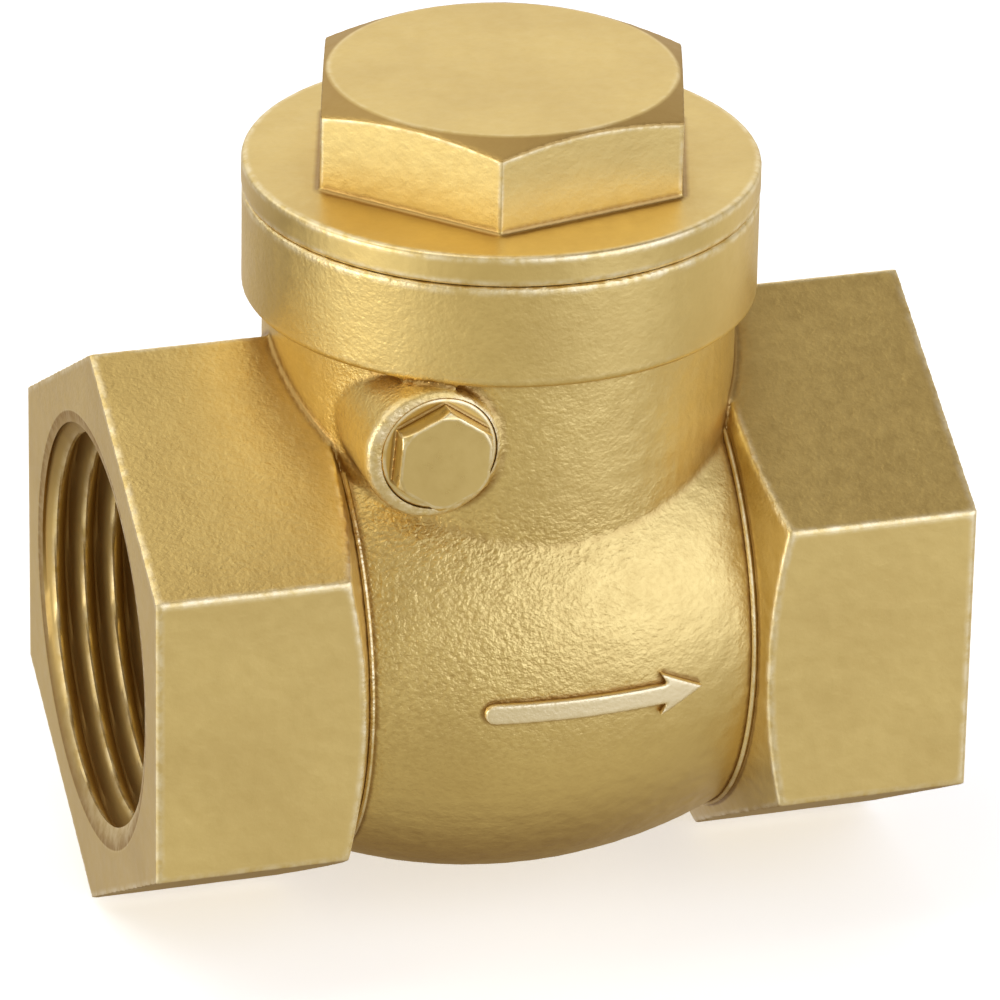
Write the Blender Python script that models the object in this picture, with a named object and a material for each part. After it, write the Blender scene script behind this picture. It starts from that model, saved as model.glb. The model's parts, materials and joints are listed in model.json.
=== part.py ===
"""One-inch brass swing check valve with female threaded hexagon ends.

+X points downstream, +Z points up through the bonnet cap, and the hinge-pin plug faces -Y. Sizes
are named in millimetres, measured from where the flow axis crosses the bonnet axis, and become
metres where a mesh is made. At the end the valve is lifted so that Z = 0 is its lowest edge.
"""

import math

import bmesh
import bpy
from mathutils import Vector

MM = 0.001
ROUND = 48  # segments round a large turned surface
SMALL_ROUND = 32  # segments round a small turned surface
GAP = 0.1  # between two faces that rest on each other
RUNNING = 0.1  # radial clearance of a part that turns on another

# Pipe ends
LENGTH = 64.0
END_FLATS = 40.0
END_INNER = 15.8  # where the middle of a hexagon flat stops, measured from the bonnet axis
END_CHAMFER_SLOPE = 0.42  # axial travel per radius of the turned chamfer on the inner side
EDGE_BREAK = 0.4
SOCKET_RADIUS = 15.15  # minor radius of the one-inch pipe thread
SOCKET_MOUTH = 17.4  # outer radius of the lead-in chamfer
SOCKET_DEPTH = 13.3

# Globe
GLOBE_RADIUS = 21.5
GLOBE_ARC = 40.0  # radius of the arc that bulges the barrel along the flow axis
WALL = 2.4
GLOBE_SEGMENTS = 12

# Seat
PORT_RADIUS = 10.8
SEAT_OUTER = 12.1
SEAT_X = -11.7
SEAT_HEIGHT = 1.1
OUTLET_LIP = 14.0  # radius of the ring that a pipe stops against on the outlet side

# Bonnet neck
NECK_RADIUS = 18.0
NECK_BORE = 15.0
COLLAR_RADIUS = 19.5
COLLAR_BOTTOM = 25.45
RIM_TOP = 33.6
CAP_THREAD_MINOR = 15.2
CAP_THREAD_BOTTOM = 25.8
GASKET_SEAT = 32.1
GASKET_RECESS = 18.0

# Bonnet cap
CAP_PITCH = 1.5
CAP_FLANGE_BOTTOM = 33.9
CAP_FLANGE_RADIUS = 19.6
CAP_FLANGE_TOP = 36.1
CAP_HEX_BASE = 36.7
CAP_TOP = 43.05
CAP_FLATS = 27.0
CAP_TOP_RADIUS = 13.05
CAP_CORNER_DROP = 0.97  # how far the turned chamfer drops from the top face to a hexagon corner
CAP_TURN = 13.0  # degrees from +X to the nearest corner of the tightened cap
SPIGOT_BOTTOM = 26.4
SPIGOT_RADIUS = 14.9
GASKET_INNER = 16.2
GASKET_OUTER = 17.8
GASKET_THICKNESS = 1.5

# Hinge pin and its plug
PIN_X = -9.8
PIN_Z = 20.3
PIN_RADIUS = 1.75
PIN_FRONT = -13.3
PIN_REAR = 14.0
LUG_RADIUS = 4.5
LUG_INNER = 7.5  # half the width between the two lugs that carry the pin
BOSS_RADIUS = 5.2
BOSS_FACE = -17.8
BOSS_SHIFT = (-0.4, -0.1)  # the cast boss sits off the drilled hole by this much along X and Z
REAR_BOSS_RADIUS = 4.8
REAR_BOSS_FACE = 17.2
PLUG_BORE = 3.5
PLUG_SEAT = -16.4
PLUG_RECESS = 4.5
PLUG_FLANGE = 4.4
PLUG_FLANGE_FACE = -17.6
PLUG_HEAD_FACE = -19.5
PLUG_FLATS = 7.0
PLUG_TURN = 25.0  # degrees from +X to the nearest corner of the plug's hexagon
PLUG_STEM = 3.2
PLUG_STEM_END = -13.6
PLUG_WASHER_THICKNESS = 0.5
PLUG_WASHER_RADIUS = 4.3

# Flap: n is measured downstream from the pin axis, and s down the arm from it
ARM_LENGTH = PIN_Z
BARREL_RADIUS = 3.2
BARREL_HALF = 7.2
PLATE_FRONT = 2.4
PLATE_BACK = 4.4
RING_RADIUS = 5.2
HEEL_RADIUS = 5.0
HEEL_ANGLE = 20.0  # degrees from straight up to the middle of the stop heel, leaning upstream
HEEL_HALF_ANGLE = 13.0
HEEL_HALF_WIDTH = 2.0
STUD_RADIUS = 2.0
DISC_RADIUS = 12.7
RUBBER_RADIUS = 11.7
RUBBER_FACE = -1.75
RUBBER_BACK = 0.3
NUT_FLATS = 7.0

# Flow arrow, cast proud of the globe on the plug's side
ARROW_TAIL = -6.7
ARROW_NECK = 6.4
ARROW_TIP = 9.3
ARROW_HALF_SHAFT = 0.65
ARROW_HALF_HEAD = 1.35
ARROW_HEIGHT = 0.6

AXES = {
    "X": (Vector((1, 0, 0)), Vector((0, 1, 0)), Vector((0, 0, 1))),
    "Y": (Vector((0, 1, 0)), Vector((0, 0, 1)), Vector((1, 0, 0))),
    "Z": (Vector((0, 0, 1)), Vector((1, 0, 0)), Vector((0, 1, 0))),
}


# ---------------------------------------------------------------- modelling helpers


def material(name, colour, metallic, roughness):
    made = bpy.data.materials.new(name)
    made.use_nodes = True
    shader = made.node_tree.nodes["Principled BSDF"]
    shader.inputs["Base Color"].default_value = (*colour, 1.0)
    shader.inputs["Metallic"].default_value = metallic
    shader.inputs["Roughness"].default_value = roughness
    return made


def make_object(name, bm, parent, finish):
    """The bmesh as an object with outward faces, hung on parent, in metres."""
    bmesh.ops.recalc_face_normals(bm, faces=bm.faces)
    bmesh.ops.scale(bm, vec=(MM, MM, MM), verts=bm.verts)
    mesh = bpy.data.meshes.new(name)
    bm.to_mesh(mesh)
    bm.free()
    mesh.shade_smooth()
    mesh.set_sharp_from_angle(angle=math.radians(30))
    obj = bpy.data.objects.new(name, mesh)
    bpy.context.scene.collection.objects.link(obj)
    obj.parent = parent
    if finish:
        mesh.materials.append(finish)
    return obj


def turned(name, profile, axis, parent=None, finish=None, centre=(0, 0, 0), ring=False, segments=ROUND):
    """A lathe shape: profile is (along, radius) points, closed by the axis or, for a ring, by itself."""
    along, across, up = AXES[axis]
    bm = bmesh.new()
    circles = []
    for place, radius in profile:
        base = Vector(centre) + along * place
        if radius == 0:
            circles.append([bm.verts.new(base)] * segments)
            continue
        angles = [2 * math.pi * (i + 0.5) / segments for i in range(segments)]
        circles.append([bm.verts.new(base + radius * (across * math.cos(a) + up * math.sin(a))) for a in angles])
    pairs = list(zip(circles, circles[1:] + circles[:1])) if ring else list(zip(circles, circles[1:]))
    for first, second in pairs:
        for i in range(segments):
            j = (i + 1) % segments
            corners = list(dict.fromkeys([first[i], first[j], second[j], second[i]]))
            if len(corners) > 2:
                bm.faces.new(corners)
    return make_object(name, bm, parent, finish)


def prism(name, outline, axis, low, high, parent=None, finish=None, centre=(0, 0, 0)):
    """An outline of (across, up) points, extruded along the axis from low to high."""
    along, across, up = AXES[axis]
    bm = bmesh.new()
    start = [bm.verts.new(Vector(centre) + along * low + across * u + up * v) for u, v in outline]
    face = bm.faces.new(start)
    moved = bmesh.ops.extrude_face_region(bm, geom=[face])["geom"]
    verts = [item for item in moved if isinstance(item, bmesh.types.BMVert)]
    bmesh.ops.translate(bm, verts=verts, vec=along * (high - low))
    return make_object(name, bm, parent, finish)


def hexagon(flats, turn):
    """Corners of a hexagon this wide across its flats, the first at turn degrees."""
    radius = flats / math.sqrt(3)
    angles = [math.radians(turn + 60 * i) for i in range(6)]
    return [(radius * math.cos(a), radius * math.sin(a)) for a in angles]


def arc(centre, radius, start, end, steps):
    """Points round part of a circle, angles in degrees."""
    angles = [math.radians(start + (end - start) * i / steps) for i in range(steps + 1)]
    return [(centre[0] + radius * math.cos(a), centre[1] + radius * math.sin(a)) for a in angles]


def combine(target, tool, operation):
    """One Boolean step on target; the tool stays in the file as a hidden wire."""
    modifier = target.modifiers.new(tool.name, "BOOLEAN")
    modifier.operation = operation
    modifier.solver = "EXACT"
    modifier.object = tool
    tool.hide_render = True
    tool.display_type = "WIRE"
    return target


def union(target, *tools):
    for tool in tools:
        combine(target, tool, "UNION")
    return target


def cut(target, *tools):
    for tool in tools:
        combine(target, tool, "DIFFERENCE")
    return target


def keep_inside(target, tool):
    return combine(target, tool, "INTERSECT")


def pivot(name, place, parent=None):
    """An empty at a place in millimetres; the pieces that move about it hang on it."""
    empty = bpy.data.objects.new(name, None)
    bpy.context.scene.collection.objects.link(empty)
    empty.parent = parent
    empty.location = Vector(place) * MM
    return empty


# ---------------------------------------------------------------- valve body


def globe_radius(x):
    return math.sqrt(GLOBE_ARC**2 - x**2) - GLOBE_ARC + GLOBE_RADIUS


def globe_profile(low, high, offset):
    xs = [low + (high - low) * i / GLOBE_SEGMENTS for i in range(GLOBE_SEGMENTS + 1)]
    return [(x, globe_radius(x) + offset) for x in xs]


def end_hexagon(side):
    """One pipe end, with its outer corners broken and its inner corners turned to a cone."""
    name = "inlet" if side < 0 else "outlet"
    face = LENGTH / 2
    clear = END_FLATS / math.sqrt(3) + 1  # a radius outside the hexagon's corners
    root = GLOBE_RADIUS - 5  # a radius well inside the globe
    flat = END_FLATS / 2

    def cone_x(radius):
        return END_INNER + (radius - flat) * END_CHAMFER_SLOPE

    corner = END_FLATS / math.sqrt(3)
    blank_profile = [
        (cone_x(root), 0),
        (cone_x(root), root),
        (cone_x(clear), clear),
        (face - 2 * EDGE_BREAK - 1, clear),
        (face - EDGE_BREAK - 1, clear),
        (face, corner - EDGE_BREAK),
        (face, 0),
    ]
    blank = turned(f"tool_{name}_blank", [(side * x, r) for x, r in blank_profile], "X")
    low, high = sorted((side * (END_INNER - 3), side * (face + 1)))
    end = prism(f"tool_{name}_hexagon", hexagon(END_FLATS, 30), "X", low, high)
    return keep_inside(end, blank)


def neck_and_collar():
    bottom = 6.0  # inside the globe
    edge = EDGE_BREAK / 2
    profile = [
        (bottom, 0),
        (bottom, NECK_RADIUS),
        (COLLAR_BOTTOM, NECK_RADIUS),
        (COLLAR_BOTTOM, COLLAR_RADIUS - edge),
        (COLLAR_BOTTOM + edge, COLLAR_RADIUS),
        (RIM_TOP - edge, COLLAR_RADIUS),
        (RIM_TOP, COLLAR_RADIUS - edge),
        (RIM_TOP, 0),
    ]
    return turned("tool_neck", profile, "Z")


def pin_bosses():
    """The plug's boss in front and the blind boss behind."""
    place = (PIN_X, 0, PIN_Z)
    edge = EDGE_BREAK / 2
    inside = 9.0
    front = [
        (BOSS_FACE, 0),
        (BOSS_FACE, BOSS_RADIUS - edge),
        (BOSS_FACE + edge, BOSS_RADIUS),
        (-inside, BOSS_RADIUS),
        (-inside, 0),
    ]
    rear = [
        (inside, 0),
        (inside, REAR_BOSS_RADIUS),
        (REAR_BOSS_FACE - edge, REAR_BOSS_RADIUS),
        (REAR_BOSS_FACE, REAR_BOSS_RADIUS - edge),
        (REAR_BOSS_FACE, 0),
    ]
    shifted = (PIN_X + BOSS_SHIFT[0], 0, PIN_Z + BOSS_SHIFT[1])
    return (
        turned("tool_plug_boss", front, "Y", centre=shifted, segments=SMALL_ROUND),
        turned("tool_rear_boss", rear, "Y", centre=place, segments=SMALL_ROUND),
    )


def flow_arrow():
    """The direction arrow: its outline, kept between the globe and a slightly larger globe."""
    outline = [
        (-ARROW_HALF_SHAFT, ARROW_TAIL),
        (-ARROW_HALF_SHAFT, ARROW_NECK),
        (-ARROW_HALF_HEAD, ARROW_NECK),
        (0, ARROW_TIP),
        (ARROW_HALF_HEAD, ARROW_NECK),
        (ARROW_HALF_SHAFT, ARROW_NECK),
        (ARROW_HALF_SHAFT, ARROW_TAIL),
    ]
    arrow = prism("tool_arrow", outline, "Y", -GLOBE_RADIUS - 2, -GLOBE_RADIUS + 3)
    half = ARROW_TIP + 3
    shape = [(-half, 0), *globe_profile(-half, half, ARROW_HEIGHT), (half, 0)]
    return keep_inside(arrow, turned("tool_arrow_height", shape, "X"))


def flow_path():
    """Everything along the flow axis that is empty: sockets, port, seat and globe chamber."""
    outside = LENGTH / 2 + 1
    mouth = SOCKET_MOUTH + 1
    lead_in = outside - (mouth - SOCKET_RADIUS)
    socket_end = LENGTH / 2 - SOCKET_DEPTH
    chamber_start = SEAT_X - SEAT_HEIGHT
    chamber_end = END_INNER - 1
    profile = [
        (-outside, 0),
        (-outside, mouth),
        (-lead_in, SOCKET_RADIUS),
        (-socket_end, SOCKET_RADIUS),
        (-socket_end, PORT_RADIUS),
        (SEAT_X, PORT_RADIUS),
        (SEAT_X, SEAT_OUTER),
        (chamber_start, SEAT_OUTER),
        *globe_profile(chamber_start, chamber_end, -WALL),
        (chamber_end + 1.5, OUTLET_LIP),
        (socket_end, OUTLET_LIP),
        (socket_end, SOCKET_RADIUS),
        (lead_in, SOCKET_RADIUS),
        (outside, mouth),
        (outside, 0),
    ]
    return turned("tool_flow_path", profile, "X")


def neck_bore():
    """The round bore under the cap, its thread core and the gasket's recess."""
    start = 13.0
    profile = [
        (start, 0),
        (start, NECK_BORE),
        (CAP_THREAD_BOTTOM, NECK_BORE),
        (CAP_THREAD_BOTTOM, CAP_THREAD_MINOR),
        (GASKET_SEAT, CAP_THREAD_MINOR),
        (GASKET_SEAT, GASKET_RECESS),
        (RIM_TOP + 2, GASKET_RECESS),
        (RIM_TOP + 2, 0),
    ]
    return turned("tool_neck_bore", profile, "Z")


def pin_lugs():
    place = (PIN_X, 0, PIN_Z)
    wall = 14.6  # inside the bosses
    lugs = []
    for name, side in (("front", -1), ("rear", 1)):
        profile = [(side * LUG_INNER, 0), (side * LUG_INNER, LUG_RADIUS), (side * wall, LUG_RADIUS), (side * wall, 0)]
        lugs.append(turned(f"tool_{name}_lug", profile, "Y", centre=place, segments=SMALL_ROUND))
    return lugs


def pin_hole():
    """The drilled pin hole, blind at the rear, with the plug's thread core and recess in front."""
    bore = PIN_RADIUS + RUNNING
    profile = [
        (BOSS_FACE - 1, 0),
        (BOSS_FACE - 1, PLUG_RECESS),
        (PLUG_SEAT, PLUG_RECESS),
        (PLUG_SEAT, PLUG_BORE),
        (PLUG_STEM_END + 0.2, PLUG_BORE),
        (PLUG_STEM_END + 0.2, bore),
        (PIN_REAR + 0.3, bore),
        (PIN_REAR + 0.8, 0),
    ]
    return turned("tool_pin_hole", profile, "Y", centre=(PIN_X, 0, PIN_Z), segments=SMALL_ROUND)


def valve_body(brass):
    root = 18.0  # the globe runs this far into the hexagon ends
    profile = [
        (-root, 0),
        (-root, globe_radius(-END_INNER)),
        *globe_profile(-END_INNER, END_INNER, 0),
        (root, globe_radius(END_INNER)),
        (root, 0),
    ]
    body = turned("valve_body", profile, "X", finish=brass)
    union(body, end_hexagon(-1), end_hexagon(1), neck_and_collar(), *pin_bosses(), flow_arrow())
    cut(body, flow_path(), neck_bore())
    union(body, *pin_lugs())
    cut(body, pin_hole())
    return body


# ---------------------------------------------------------------- bonnet cap


def bonnet_cap(parent, brass):
    """The cap hangs on a pivot on the bonnet axis, level with the underside of its flange."""
    base = CAP_FLANGE_BOTTOM
    edge = EDGE_BREAK / 2
    flats_radius = CAP_FLATS / 2
    lathe = [
        (SPIGOT_BOTTOM - base, 0),
        (SPIGOT_BOTTOM - base, SPIGOT_RADIUS - EDGE_BREAK),
        (SPIGOT_BOTTOM - base + EDGE_BREAK, SPIGOT_RADIUS),
        (0, SPIGOT_RADIUS),
        (0, CAP_FLANGE_RADIUS - edge),
        (edge, CAP_FLANGE_RADIUS),
        (CAP_FLANGE_TOP - base - edge, CAP_FLANGE_RADIUS),
        (CAP_FLANGE_TOP - base, CAP_FLANGE_RADIUS - edge),
        (CAP_HEX_BASE - base, CAP_FLATS / math.sqrt(3)),
        (CAP_HEX_BASE - base, 0),
    ]
    cap = turned("bonnet_cap", lathe, "Z", parent, brass)
    corner = CAP_FLATS / math.sqrt(3)
    slope = CAP_CORNER_DROP / (corner - CAP_TOP_RADIUS)
    clear = corner + 1
    top = CAP_TOP - base
    blank_profile = [
        (1, 0),
        (1, clear),
        (top - slope * (clear - CAP_TOP_RADIUS), clear),
        (top, CAP_TOP_RADIUS),
        (top, 0),
    ]
    blank = turned("tool_cap_blank", blank_profile, "Z", parent)
    head = prism("tool_cap_hexagon", hexagon(CAP_FLATS, CAP_TURN), "Z", 2, top + 1, parent)
    union(cap, keep_inside(head, blank))
    spigot_wall = 2.5
    hollow = SPIGOT_RADIUS - spigot_wall
    step = flats_radius - 4
    recess = [
        (SPIGOT_BOTTOM - base - 1, 0),
        (SPIGOT_BOTTOM - base - 1, hollow),
        (0.6, hollow),
        (0.6, step),
        (3.8, step),
        (4.6, step - 0.8),
        (4.6, 0),
    ]
    return cut(cap, turned("tool_cap_recess", recess, "Z", parent))


def washer(name, axis, low, high, inner, outer, parent, finish, segments=SMALL_ROUND):
    profile = [(low, inner), (low, outer), (high, outer), (high, inner)]
    return turned(name, profile, axis, parent, finish, ring=True, segments=segments)


def hexagon_nut(name, low, high, bore, parent, finish, turn=0):
    """A nut on the X axis, its corners rounded off by turned chamfers at both ends."""
    corner = NUT_FLATS / math.sqrt(3)
    drop = 0.35
    clear = corner + 0.5
    profile = [(low, corner - drop), (low + drop, clear), (high - drop, clear), (high, corner - drop)]
    blank = turned(f"tool_{name}_blank", [(low, 0), *profile, (high, 0)], "X", parent, segments=SMALL_ROUND)
    nut = prism(name, hexagon(NUT_FLATS, turn), "X", low - 1, high + 1, parent, finish)
    keep_inside(nut, blank)
    hole = turned(
        f"tool_{name}_bore",
        [(low - 2, 0), (low - 2, bore), (high + 2, bore), (high + 2, 0)],
        "X",
        parent,
        segments=SMALL_ROUND,
    )
    return cut(nut, hole)


# ---------------------------------------------------------------- hinge pin and plug


def hinge_pin(parent, steel):
    """A plain ground pin with both ends chamfered."""
    edge = 0.3
    profile = [
        (PIN_FRONT, 0),
        (PIN_FRONT, PIN_RADIUS - edge),
        (PIN_FRONT + edge, PIN_RADIUS),
        (PIN_REAR - edge, PIN_RADIUS),
        (PIN_REAR, PIN_RADIUS - edge),
        (PIN_REAR, 0),
    ]
    return turned("hinge_pin", profile, "Y", parent, steel, segments=SMALL_ROUND)


def pin_plug(parent, brass):
    """The hexagon-headed screw that closes the pin hole; its pivot is on the pin axis."""
    washer_face = PLUG_SEAT - GAP - PLUG_WASHER_THICKNESS
    edge = EDGE_BREAK / 2
    lathe = [
        (PLUG_STEM_END, 0),
        (PLUG_STEM_END, PLUG_STEM - EDGE_BREAK),
        (PLUG_STEM_END - EDGE_BREAK, PLUG_STEM),
        (washer_face - GAP, PLUG_STEM),
        (washer_face - GAP, PLUG_FLANGE),
        (PLUG_FLANGE_FACE + edge, PLUG_FLANGE),
        (PLUG_FLANGE_FACE, PLUG_FLANGE - edge),
        (PLUG_FLANGE_FACE, 0),
    ]
    plug = turned("pin_plug", lathe, "Y", parent, brass, segments=SMALL_ROUND)
    corner = PLUG_FLATS / math.sqrt(3)
    drop = 0.5
    blank_profile = [
        (PLUG_HEAD_FACE, 0),
        (PLUG_HEAD_FACE, corner - 2 * drop),
        (PLUG_HEAD_FACE + drop, corner),
        (PLUG_HEAD_FACE + drop, corner + 1),
        (PLUG_FLANGE_FACE + 1, corner + 1),
        (PLUG_FLANGE_FACE + 1, 0),
    ]
    blank = turned("tool_plug_blank", blank_profile, "Y", parent, segments=SMALL_ROUND)
    outline = [(up, across) for across, up in hexagon(PLUG_FLATS, PLUG_TURN)]
    head = prism("tool_plug_hexagon", outline, "Y", PLUG_HEAD_FACE - 1, PLUG_FLANGE_FACE + 0.5, parent)
    return union(plug, keep_inside(head, blank))


# ---------------------------------------------------------------- flap


def hinge_arm(parent, brass):
    """The swing arm: a barrel on the pin, a tapered plate, a ring for the disc's stud and a stop heel."""
    side_view = [
        (-1.6, 1.8),
        (-1.4, -1.8),
        (1.6, -2.2),
        (PLATE_BACK, 5.0),
        (PLATE_BACK, ARM_LENGTH + RING_RADIUS + 1),
        (PLATE_FRONT, ARM_LENGTH + RING_RADIUS + 1),
        (PLATE_FRONT, 7.2),
    ]
    arm = prism("hinge_arm", [(-s, n) for n, s in side_view], "Y", -8, 8, parent, brass)
    shoulder = 6.4
    waist = RING_RADIUS - 0.6
    round_end = arc((0, -ARM_LENGTH), RING_RADIUS, -165, -15, 16)
    front_view = [*round_end, (waist, -ARM_LENGTH + 6), (shoulder, -4.5), (shoulder, 3), (-shoulder, 3)]
    front_view += [(-shoulder, -4.5), (-waist, -ARM_LENGTH + 6)]
    keep_inside(arm, prism("tool_arm_front_view", front_view, "X", -8, 8, parent))
    barrel = [(-BARREL_HALF, 0), (-BARREL_HALF, BARREL_RADIUS), (BARREL_HALF, BARREL_RADIUS), (BARREL_HALF, 0)]
    union(arm, turned("tool_arm_barrel", barrel, "Y", parent, segments=SMALL_ROUND))
    middle = 90 + HEEL_ANGLE
    heel_arc = arc((0, 0), HEEL_RADIUS, middle - HEEL_HALF_ANGLE, middle + HEEL_HALF_ANGLE, 4)
    heel = [(0, 0), *heel_arc]
    outline = [(z, x) for x, z in heel]
    union(arm, prism("tool_arm_heel", outline, "Y", -HEEL_HALF_WIDTH, HEEL_HALF_WIDTH, parent))
    bore = PIN_RADIUS + RUNNING
    pin_bore = [(-9, 0), (-9, bore), (9, bore), (9, 0)]
    cut(arm, turned("tool_arm_bore", pin_bore, "Y", parent, segments=SMALL_ROUND))
    stud_bore = STUD_RADIUS + 1.5 * RUNNING
    hole = [(-1, 0), (-1, stud_bore), (8, stud_bore), (8, 0)]
    below = (0, 0, -ARM_LENGTH)
    return cut(arm, turned("tool_arm_stud_hole", hole, "X", parent, centre=below, segments=SMALL_ROUND))


STUD_FRONT = -6.0
STUD_BACK = 9.0
SPLIT_PIN_N = 8.05
SPLIT_PIN_WIRE = 0.4


def disc_holder(parent, brass):
    """The brass disc: a cup for the rubber with a stud on each side, cross-drilled at its rear end."""
    edge = 0.3
    cup_floor = RUBBER_BACK + GAP
    rim_front = -0.9
    rim_back = 1.9
    profile = [
        (STUD_FRONT, 0),
        (STUD_FRONT, STUD_RADIUS - edge),
        (STUD_FRONT + edge, STUD_RADIUS),
        (cup_floor, STUD_RADIUS),
        (cup_floor, RUBBER_RADIUS + 0.15),
        (rim_front, RUBBER_RADIUS + 0.15),
        (rim_front, DISC_RADIUS),
        (rim_back - 2 * edge, DISC_RADIUS),
        (rim_back, DISC_RADIUS - 2 * edge),
        (rim_back, 4.6),
        (PLATE_FRONT - GAP, 4.0),
        (PLATE_FRONT - GAP, STUD_RADIUS),
        (STUD_BACK - edge, STUD_RADIUS),
        (STUD_BACK, STUD_RADIUS - edge),
        (STUD_BACK, 0),
    ]
    disc = turned("disc_holder", profile, "X", parent, brass, segments=48)
    hole = SPLIT_PIN_WIRE + 0.15
    drill = [(-4, 0), (-4, hole), (4, hole), (4, 0)]
    place = (SPLIT_PIN_N, 0, 0)
    return cut(disc, turned("tool_split_pin_hole", drill, "Y", parent, centre=place, segments=16))


def bent_wire(name, points, radius, parent, finish):
    """A round wire along (across, up) points in a plane square to the flow axis."""
    _, across, up = AXES["X"]
    sides = 10
    path = [across * u + up * v + Vector((SPLIT_PIN_N, 0, 0)) for u, v in points]
    bm = bmesh.new()
    rings = []
    for i, place in enumerate(path):
        heading = (path[min(i + 1, len(path) - 1)] - path[max(i - 1, 0)]).normalized()
        sideways = heading.cross(Vector((1, 0, 0)))
        angles = [2 * math.pi * k / sides for k in range(sides)]
        offsets = [radius * (sideways * math.cos(a) + Vector((1, 0, 0)) * math.sin(a)) for a in angles]
        rings.append([bm.verts.new(place + offset) for offset in offsets])
    for first, second in zip(rings, rings[1:]):
        for k in range(sides):
            j = (k + 1) % sides
            bm.faces.new((first[k], first[j], second[j], second[k]))
    bm.faces.new(rings[0])
    bm.faces.new(rings[-1])
    return make_object(name, bm, parent, finish)


def split_pin(parent, steel):
    """One bent wire: an eye in front of the stud, a shank through it and a tail turned down behind."""
    eye_radius = 0.85
    eye_y = -STUD_RADIUS - 0.25 - eye_radius
    tail_y = STUD_RADIUS + 0.2
    tail_radius = 0.9
    eye = arc((eye_y, 0), eye_radius, 50, 310, 12)
    tail = arc((tail_y, -tail_radius), tail_radius, 90, 5, 5)
    end = (tail[-1][0], tail[-1][1] - 0.8)
    points = [*reversed(eye), (eye_y + eye_radius, 0), *tail, end]
    return bent_wire("split_pin", points, SPLIT_PIN_WIRE, parent, steel)


def disc_stack(parent, brass, steel, rubber):
    """What is stacked on the disc's two studs, front to back."""
    bore = STUD_RADIUS + 0.15
    washer_face = RUBBER_FACE - GAP
    washer("rubber_facing", "X", RUBBER_FACE, RUBBER_BACK, bore, RUBBER_RADIUS, parent, rubber, 48)
    washer("facing_washer", "X", washer_face - 0.8, washer_face, bore, 5.5, parent, brass)
    hexagon_nut("facing_nut", washer_face - 3.1, washer_face - 0.9, bore, parent, brass)
    arm_back = PLATE_BACK + GAP
    washer("hanger_washer", "X", arm_back, arm_back + 0.5, bore, 4.2, parent, steel)
    hexagon_nut("hanger_nut", arm_back + 0.6, arm_back + 2.8, bore, parent, brass, 30)


# ---------------------------------------------------------------- assembly


def build():
    for old in list(bpy.data.objects):
        bpy.data.objects.remove(old)
    brass = material("cast_brass", (0.72, 0.53, 0.22), 1.0, 0.38)
    turned_brass = material("turned_brass", (0.78, 0.58, 0.26), 1.0, 0.25)
    steel = material("stainless_steel", (0.62, 0.61, 0.58), 1.0, 0.25)
    rubber = material("black_rubber", (0.03, 0.03, 0.03), 0.0, 0.7)
    fibre = material("gasket_fibre", (0.75, 0.73, 0.68), 0.0, 0.6)

    valve_body(brass)
    cap_axis = pivot("cap_axis", (0, 0, CAP_FLANGE_BOTTOM))
    bonnet_cap(cap_axis, brass)
    gasket_top = -GAP
    washer("cap_gasket", "Z", gasket_top - GASKET_THICKNESS, gasket_top, GASKET_INNER, GASKET_OUTER,
           cap_axis, fibre, ROUND)

    pin_axis = pivot("pin_axis", (PIN_X, 0, PIN_Z))
    hinge_pin(pin_axis, steel)
    pin_plug(pin_axis, brass)
    seat = PLUG_SEAT - GAP
    washer("plug_washer", "Y", seat - PLUG_WASHER_THICKNESS, seat, PLUG_BORE + 0.1, PLUG_WASHER_RADIUS,
           pin_axis, fibre)

    flap_pivot = pivot("flap_pivot", (PIN_X, 0, PIN_Z))
    hinge_arm(flap_pivot, turned_brass)
    disc_axis = pivot("disc_axis", (0, 0, -ARM_LENGTH), flap_pivot)
    disc_holder(disc_axis, turned_brass)
    disc_stack(disc_axis, turned_brass, steel, rubber)
    split_pin(disc_axis, steel)

    flow_axis_height = END_FLATS / math.sqrt(3)
    for obj in bpy.data.objects:
        if obj.parent is None:
            obj.location.z += flow_axis_height * MM


build()
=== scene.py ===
"""Brass swing check valve: the visible model and its studio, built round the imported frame.

The castings are modelled in millimetres about the point where the flow axis crosses the bonnet
axis, and are set down in the frame at the end. Places and main sizes are read from the frame.
"""
import json
import math

import bmesh
import bpy
import numpy as np
from mathutils import Matrix, Vector, noise


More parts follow.
